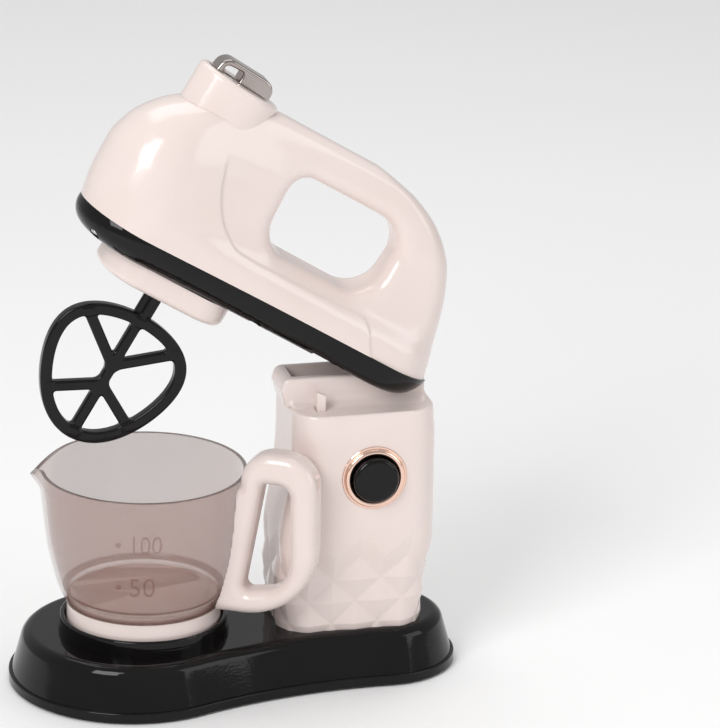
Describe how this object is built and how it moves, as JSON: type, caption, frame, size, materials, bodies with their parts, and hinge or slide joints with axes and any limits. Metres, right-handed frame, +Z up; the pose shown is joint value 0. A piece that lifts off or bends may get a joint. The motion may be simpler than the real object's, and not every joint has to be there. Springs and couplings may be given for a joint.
{
  "type": "toy stand mixer",
  "caption": "Toy stand mixer with a tilting head, a flat ring whisk, a lift-off jug bowl, an on slider and a head release button.",
  "frame": {"origin": "middle of the base's footprint, at the level that the feet stand on", "axes": "+Z up, the nose of the head points along -X, the release button is on the -Y side"},
  "size_m": [0.183, 0.1, 0.258],
  "materials": {
    "cream": "high gloss",
    "black_gloss": "high gloss",
    "black_satin": "satin",
    "smoke": "clear smoke tint",
    "rose_gold": "bright plated",
    "bright_metal": "bright plated",
    "steel": "plain",
    "white_nylon": "satin",
    "rubber": "matt",
    "cell_wrap": "satin",
    "brass": "plain"
  },
  "bodies": {
    "stand": {"base_shell": "black_gloss", "base_plate": "black_satin", "battery_door": "black_satin", "battery_cells": "cell_wrap", "battery_springs": "steel", "battery_contacts": "steel", "rubber_feet": "rubber", "base_screws": "steel", "stand_shell": "cream", "neck": "cream", "stand_screws": "steel", "hinge_pin": "steel", "button_bezel": "rose_gold"},
    "head": {"head_shell_left": "cream", "head_shell_right": "cream", "lower_shell": "black_gloss", "head_screws": "steel", "switch_collar": "cream", "power_switch": "black_satin", "gear_frame": "white_nylon", "motor_plate": "white_nylon", "frame_screws": "steel", "motor": "steel", "idler_axle": "steel", "output_bush": "brass", "gearbox_cover": "cream", "lamp_lens": "black_gloss"},
    "whisk": {"output_gear": "white_nylon", "output_shaft": "black_satin", "beater": "black_gloss"},
    "idler": {"idler_gear": "white_nylon"},
    "rotor": {"motor_shaft": "steel", "motor_pinion": "white_nylon"},
    "slider": {"power_slider": "bright_metal"},
    "release": {"release_button": "black_gloss", "latch_lever": "cream", "button_spring": "steel"},
    "bowl": {"bowl_body": "smoke", "bowl_foot": "cream", "bowl_handle": "cream"}
  },
  "joints": [
    {"name": "head_tilt", "type": "hinge", "parent": "stand", "child": "head", "pos_m": [0.063, 0, 0.128], "axis": [0, 1, 0], "range_deg": [-31, 3]},
    {"name": "whisk_spin", "type": "hinge", "parent": "head", "child": "whisk", "pos_m": [-0.02272, 0, 0.1795], "axis": [0.515, 0, 0.8572], "continuous": true},
    {"name": "idler_spin", "type": "hinge", "parent": "head", "child": "idler", "pos_m": [-0.03815, 0, 0.18877], "axis": [0.515, 0, 0.8572], "continuous": true},
    {"name": "rotor_spin", "type": "hinge", "parent": "head", "child": "rotor", "pos_m": [-0.02272, 0, 0.1795], "axis": [0.515, 0, 0.8572], "continuous": true},
    {"name": "slider_slide", "type": "slide", "parent": "head", "child": "slider", "axis": [-0.8572, 0, 0.515], "range_m": [0, 0.003]},
    {"name": "release_press", "type": "slide", "parent": "stand", "child": "release", "axis": [0, 1, 0], "range_m": [0, 0.0025], "stiffness_N_per_m": 300},
    {"name": "bowl_lift", "type": "slide", "parent": "stand", "child": "bowl", "axis": [0, 0, 1], "range_m": [0, 0.008]}
  ],
  "couplings": [
    {"joint": "idler_spin", "follows": "whisk_spin", "ratio": -3},
    {"joint": "rotor_spin", "follows": "whisk_spin", "ratio": 9}
  ]
}
